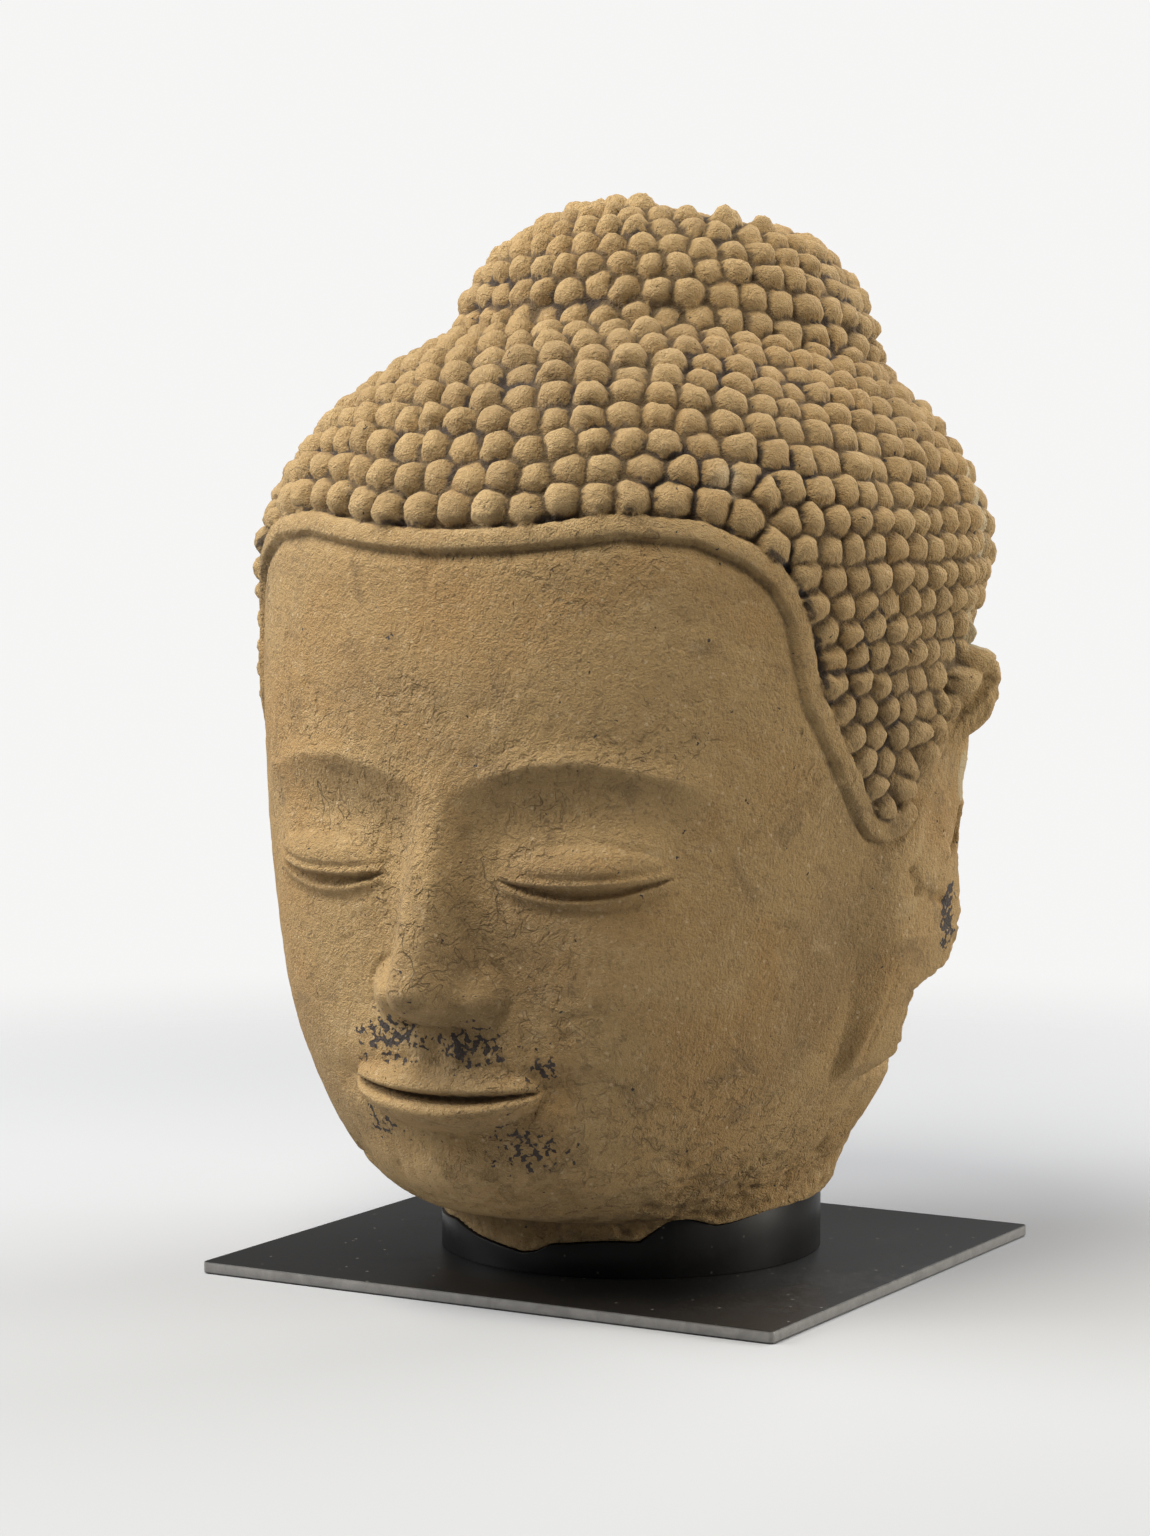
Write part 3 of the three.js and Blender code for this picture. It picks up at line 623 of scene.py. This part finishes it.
def nearness(points, places, reach):
    """1 at any of the places, falling to 0 around them."""
    return np.max([hill(np.linalg.norm(points - place, axis=1) / reach) for place in places], axis=0)


height *= 1 - 0.4 * nearness(seats, CHIPPED, 8) - 0.75 * nearness(seats, PATCHED, 12)
tilt = seeded.uniform(-0.13, 0.13, seats.shape)
curl_tree = tree_of(seats)


def curl_relief(points):
    """Height of the curls over the form: a cushion on each seat, rounded off where it meets its neighbours."""
    found = np.array([[hit[1] for hit in curl_tree.find_n(place, 7)] for place in points])
    own = seats[found[:, 0]]
    to_own = ((points - own) ** 2).sum(axis=1)
    crowd = np.exp((np.sqrt(to_own) - reach[found[:, 0]]) / GROOVE_ROUND)
    for k in range(1, 7):
        other = seats[found[:, k]]
        apart = np.linalg.norm(other - own, axis=1)
        edge = (((points - other) ** 2).sum(axis=1) - to_own) / (2 * apart)
        crowd += np.exp(-edge / GROOVE_ROUND)
    inside = -GROOVE_ROUND * np.log(crowd)
    t = np.clip(inside / 7.6 + 0.06, 0, 1)
    dome = 1 - (1 - t) ** 2.6
    lean = ((points - own) * tilt[found[:, 0]]).sum(axis=1)
    return dome * (height[found[:, 0]] - 0.9 * to_own / 100 + lean) - 0.8 * (1 - t)


curled = (away > 6) & (bare[:, 2] > hairline_z(turn) - 12)
stone[curled] += bare_out[curled] * curl_relief(bare[curled])[:, None]
put_points(head, stone)
modify(head, "SMOOTH", factor=0.5, iterations=2)

# Wear of the head: soft unevenness all over, pits on the cheeks, and rough broken stone at the neck and the top.


def grain(points, size, octaves=3):
    scaled = (points / size).tolist()
    return np.fromiter((noise.fractal(p, 1.0, 2.0, octaves) for p in scaled), float, len(scaled))


def normals_of(piece):
    flat = np.empty(len(piece.data.vertices) * 3, dtype=np.float32)
    piece.data.vertices.foreach_get("normal", flat)
    return flat.reshape(-1, 3).astype(float)


stone = points_of(head)
turn = face_turn(stone)
hair = ease(-3, 6, stone[:, 2] - hairline_z(turn))
above_rim = stone[:, 2] - rim_z(round_collar(stone))
left_neck = ease(20, 40, np.degrees(round_collar(stone))) * ease(130, 100, np.degrees(round_collar(stone)))
broken = np.maximum(ease(14, 3, above_rim), left_neck * ease(46, 22, above_rim))
broken = np.maximum(broken, ease(4, -2, cut_z(stone) - stone[:, 2] - 2))
ear_edge = np.abs(stone[:, 1] - np.interp(stone[:, 2], *EAR_BACK.T) - 4)
ear_edge = ease(12, 4, ear_edge) * ease(110, 125, np.abs(stone[:, 0])) * ease(372, 355, stone[:, 2])
broken = np.maximum(broken, 0.7 * ear_edge)
stump = bar(stone[:, 1], stone[:, 2], (6, 318), (34, 342), 22) * ease(140, 160, np.abs(stone[:, 0]))
broken = np.maximum(broken, 0.9 * stump * (1 - hair))
wear = 0.7 * grain(stone, 45) + 0.3 * grain(stone, 9) * (1 - 0.3 * hair) + 0.75 * grain(stone + 40, 6.5) * hair
eroded = ease(0.05, 0.5, grain(stone + 200, 60)) * (1 - hair)
pits = ease(0.2, 0.55, grain(stone + 500, 8)) * (0.25 + 0.75 * eroded) * (1 - hair)
wear -= 0.75 * pits
under_chin = ease(98, 72, stone[:, 2]) * ease(60, 20, stone[:, 1]) * (1 - hair)
wear -= 1.7 * ease(0.03, 0.1, grain(stone + 300, 34, 4)) * under_chin
wear += broken * (2.4 * grain(stone, 20, 4) + 1.2 * grain(stone + 90, 6) - 0.8)
bedded = ease(0.2, 2.5, stone[:, 2] - seat_z(stone))
stone = stone + normals_of(head) * (wear * bedded)[:, None]
put_points(head, stone)


def thin_out(piece, faces, hair):
    """Thins the hair, or all but the hair, down to a number of faces."""
    points = points_of(piece)
    chosen = (points[:, 2] > hairline_z(face_turn(points)) - 4) == hair
    spare = int(chosen[corners_of(piece)].any(axis=1).sum()) - faces
    if spare > 0:
        group = piece.vertex_groups.new(name="thinned")
        group.add(np.flatnonzero(chosen).tolist(), 1.0, "REPLACE")
        share = 1 - spare / len(piece.data.polygons)
        modify(piece, "DECIMATE", ratio=share, vertex_group="thinned", vertex_group_factor=1.0)
        piece.vertex_groups.clear()


thin_out(head, PLAIN_FACES, hair=False)
thin_out(head, HAIR_FACES, hair=True)
take(head)
bpy.ops.object.shade_smooth()

# Patina of the head: dirt and painted shade in the hollows, tips rubbed pale, and where lacquer and fills remain.


def hollows(piece, rounds):
    """How far each point lies below the mean of its surroundings, in mm."""
    points = points_of(piece)
    flat = np.empty(len(piece.data.edges) * 2, dtype=np.int32)
    piece.data.edges.foreach_get("vertices", flat)
    a, b = flat.reshape(-1, 2).T
    begins, ends = np.concatenate((a, b)), np.concatenate((b, a))
    count = np.maximum(1, np.bincount(begins, minlength=len(points)))[:, None]
    smooth = points
    for _ in range(rounds):
        smooth = np.stack([np.bincount(begins, smooth[ends, k], len(points)) for k in range(3)], axis=1) / count
    return ((smooth - points) * normals_of(piece)).sum(axis=1)


def keep(piece, name, values):
    layer = piece.data.attributes.new(name, "FLOAT", "POINT")
    layer.data.foreach_set("value", np.asarray(values, dtype=np.float32))


stone = points_of(head)
turn = face_turn(stone)
hair = ease(-3, 6, stone[:, 2] - hairline_z(turn))
close, wide = hollows(head, 3), hollows(head, 24)
front = ease(-60, -120, stone[:, 1])
flaked = 0.0
for x, z, across, tall, weight in (
        (-28, NOSE_Z - 13, 24, 14, 0.95), (20, NOSE_Z - 13, 24, 11, 0.95), (58, MOUTH_Z + 16, 10, 10, 0.75),
        (-44, MOUTH_Z - 18, 14, 12, 0.8), (46, MOUTH_Z - 27, 18, 15, 0.85)):
    flaked = np.maximum(flaked, front * weight * hill((stone[:, 0] - x) / across, (stone[:, 2] - z) / tall))
lobe_patch = bar(stone[:, 1], stone[:, 2], (10, 218), (8, 196), 9) * ease(150, 170, stone[:, 0])
flaked = np.maximum(flaked, lobe_patch)
fills = np.max([
    hill((stone[:, 1] - y) / across, (stone[:, 2] - z) / tall) * ease(120, 150, stone[:, 0])
    for y, z, across, tall in ((30, 366, 12, 20), (20, 284, 9, 18))], axis=0)
fills = np.maximum(fills, nearness(stone, PATCHED, 16))
# Dirt and painted shade: the hollows, close and wide, are marked for darkening.
keep(head, "dirt_and_shade", np.clip((0.5 * close + 0.16 * wide) * hair + 0.3 * close * (1 - hair), 0, 1))
keep(head, "rubbed", np.clip(-0.5 * close - 0.1 * wide * hair, 0, 1))
keep(head, "hair", hair)
above_band = stone[:, 2] > hairline_z(turn) + 3
keep(head, "seam", hill((from_crest(stone) - 8.5) / 2.2) * above_band)
own_curl = np.array([curl_tree.find(place)[1] for place in stone])
keep(head, "curl_tone", np.where(hair > 0.5, seeded.random(len(seats))[own_curl], 0.5))
keep(head, "lacquer", flaked)
keep(head, "fill", fills)
keep(head, "chip", nearness(stone, CHIPPED[:1], 11))

sandstone = Finish("sandstone")
fine_grain = sandstone.noise(1000, 2, 0.7)
sand = sandstone.noise(380, 3, 0.7)
pitting = sandstone.noise(140, 3, 0.65)
blotch = sandstone.noise(11, 5, 0.62, 0.8)
stain = sandstone.noise(27, 5, 0.66, 1.2)
cloud = sandstone.noise(4.5, 4, 0.55, 0.6)
dirt_and_shade, rubbed = sandstone.attribute("dirt_and_shade"), sandstone.attribute("rubbed")
hair_in, lacquer_in = sandstone.attribute("hair"), sandstone.attribute("lacquer")
colour = sandstone.mix(blotch.between(0.4, 0.68), (0.335, 0.222, 0.098), (0.31, 0.19, 0.076))
colour = sandstone.mix(cloud.between(0.46, 0.7) * 0.6, colour, (0.175, 0.117, 0.058))
colour = sandstone.mix(stain.between(0.53, 0.7) * 0.58, colour, (0.17, 0.111, 0.055))
colour = sandstone.mix((1 - stain.between(0.28, 0.44)) * 0.4, colour, (0.45, 0.325, 0.17))
colour = sandstone.mix(sand.between(0.5, 0.72) * 0.5, colour, (0.13, 0.085, 0.048))
colour = sandstone.mix((1 - fine_grain.between(0.28, 0.44)) * 0.45, colour, (0.52, 0.39, 0.23))
colour = sandstone.mix((1 - pitting.between(0.3, 0.42)) * 0.3, colour, (0.48, 0.355, 0.2))
curl_tone = sandstone.attribute("curl_tone")
colour = sandstone.mix(curl_tone.between(0.55, 1) * 0.3, colour, (0.2, 0.13, 0.062))
colour = sandstone.mix((1 - curl_tone.between(0, 0.45)) * 0.25, colour, (0.45, 0.325, 0.17))
pores = {"Vector": sandstone.place, "Scale": 190, "Randomness": 1.0}
near_pore = sandstone.node("ShaderNodeTexVoronoi", {}, pores, "Distance")
pore_lot = sandstone.node("ShaderNodeTexVoronoi", {}, pores, "Color")
pore_lot = sandstone.node("ShaderNodeSeparateColor", {}, {"Color": pore_lot}, "Red")
pore = (1 - near_pore.between(0.06, 0.3)) * pore_lot.between(0.88, 0.9)
speck = (1 - near_pore.between(0.08, 0.26)) * (1 - pore_lot.between(0.2, 0.22))
colour = sandstone.mix(pore * 0.3, colour, (0.13, 0.085, 0.048))
colour = sandstone.mix(speck * 0.4, colour, (0.58, 0.45, 0.29))
colour = sandstone.mix(rubbed.between(0.05, 0.8) * 0.4, colour, (0.43, 0.3, 0.148))
# Dirt and painted shade: the marked hollows are darkened to deep brown.
colour = sandstone.mix(dirt_and_shade.between(0.06, 0.7) * 0.75, colour, (0.07, 0.048, 0.03))
soot = dirt_and_shade.between(0.3, 0.7) * hair_in * sandstone.noise(24, 4).between(0.5, 0.62)
flake = (sandstone.noise(240, 2, 0.5, 0.3) + lacquer_in * 0.32).between(0.735, 0.755)
seam = sandstone.attribute("seam").between(0.35, 0.7) * sandstone.noise(34, 4).between(0.5, 0.56)
black = sandstone.node("ShaderNodeMath", {"operation": "MAXIMUM"}, {0: soot * 0.8 + seam * 0.8, 1: flake})
course = sandstone.noise(13, 4, 0.6, 0.5)
line = sandstone.node("ShaderNodeMath", {"operation": "ABSOLUTE"}, {0: course - 0.5})
crack = (1 - line.between(0.0008, 0.003)) * sandstone.noise(7, 3).between(0.55, 0.62) * (1 - hair_in)
fill_in = sandstone.attribute("fill") * (0.5 + stain)
colour = sandstone.mix(fill_in.between(0.45, 0.7) * 0.75, colour, (0.4, 0.325, 0.2))
colour = sandstone.mix(crack * 0.5, colour, (0.1, 0.066, 0.04))
colour = sandstone.mix(sandstone.attribute("chip").between(0.2, 0.7) * 0.6, colour, (0.58, 0.45, 0.28))
colour = sandstone.mix(black * 0.93, colour, (0.03, 0.025, 0.027))
erosion = sandstone.noise(7, 3, 0.6, 0.4).between(0.47, 0.6) * (1 - hair_in)
pit = sandstone.noise(125, 3, 0.6, 0.6).between(0.52, 0.62) * erosion
colour = sandstone.mix(pit * 0.18, colour, (0.16, 0.105, 0.055))
sandstone.set(Base_Color=colour, Roughness=0.93 - 0.25 * flake)
raised = fine_grain * 0.7 + sand * 1.1 + pitting * 0.8 + stain * 0.35
sunk = pore * 0.25 + pit * 0.7 + flake * 0.5 + crack * 0.8
sandstone.set(Normal=sandstone.bump(raised - sunk, 0.0024, 0.9), Specular_IOR_Level=0.25)
head.data.materials.clear()
head.data.materials.append(sandstone.material)
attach(head, "root")
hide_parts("head")

# The studio: a pale floor that fades into a white sweep, a large soft light on the left, others on the right, above
# and behind, and the camera a little below the knot, turned towards the head's left.

CAMERA_TURN, CAMERA_DROP = math.radians(29.84), math.radians(4.67)
SENSOR, FOCUS = 36, 3984 / 1536

clear_selection()
bpy.ops.mesh.primitive_circle_add(vertices=128, radius=1.6, fill_type="NGON", location=(0, 0, -0.0005))
floor = bpy.context.object
floor.name = "studio_floor"
bpy.ops.object.transform_apply(location=True, rotation=True, scale=True)
paper = Finish("floor_paper")
from_middle = paper.node("ShaderNodeVectorMath", {"operation": "LENGTH"}, {0: paper.place}, "Value")
paper.set(Base_Color=(0.347, 0.353, 0.368), Roughness=0.85, Alpha=1 - from_middle.between(0.62, 1.3))
floor.data.materials.append(paper.material)

world = bpy.data.worlds.new("studio_white")
world.use_nodes = True
backdrop = world.node_tree.nodes["Background"]
seen = world.node_tree.nodes.new("ShaderNodeLightPath")
glow = world.node_tree.nodes.new("ShaderNodeMapRange")
glow.inputs["To Min"].default_value = 0.17
glow.inputs["To Max"].default_value = 0.92
world.node_tree.links.new(seen.outputs["Is Camera Ray"], glow.inputs["Value"])
world.node_tree.links.new(glow.outputs[0], backdrop.inputs["Strength"])
backdrop.inputs["Color"].default_value = (1, 0.995, 0.99, 1)
bpy.context.scene.world = world


def soft_light(name, turn, height, distance, size, power, tint):
    place = Vector((math.sin(turn) * distance, -math.cos(turn) * distance, height))
    bpy.ops.object.light_add(type="AREA", location=place)
    lamp = bpy.context.object
    lamp.name = name
    lamp.data.shape = "DISK"
    lamp.data.size = size
    lamp.data.energy = power
    lamp.data.color = tint
    lamp.rotation_euler = (Vector((0, 0, 0.32)) - place).to_track_quat("-Z", "Y").to_euler()


soft_light("key", math.radians(-64), 1.45, 2.0, 1.7, 75, (0.99, 0.995, 1))
soft_light("fill", math.radians(112), 0.6, 2.3, 1.4, 46, (1, 0.96, 0.86))
soft_light("top", math.radians(-12), 2.4, 1.1, 1.4, 72, (1, 0.965, 0.87))
soft_light("sweep", math.radians(158), 1.5, 1.5, 1.4, 36, (1, 1, 1))

bpy.ops.object.camera_add(location=(1.1055, -1.9844, 0.4668))
camera = bpy.context.object
camera.rotation_euler = (math.pi / 2 - CAMERA_DROP, 0, CAMERA_TURN)
camera.data.sensor_width = SENSOR
camera.data.lens = FOCUS * SENSOR
bpy.context.scene.camera = camera
bpy.context.scene.view_settings.view_transform = "Standard"
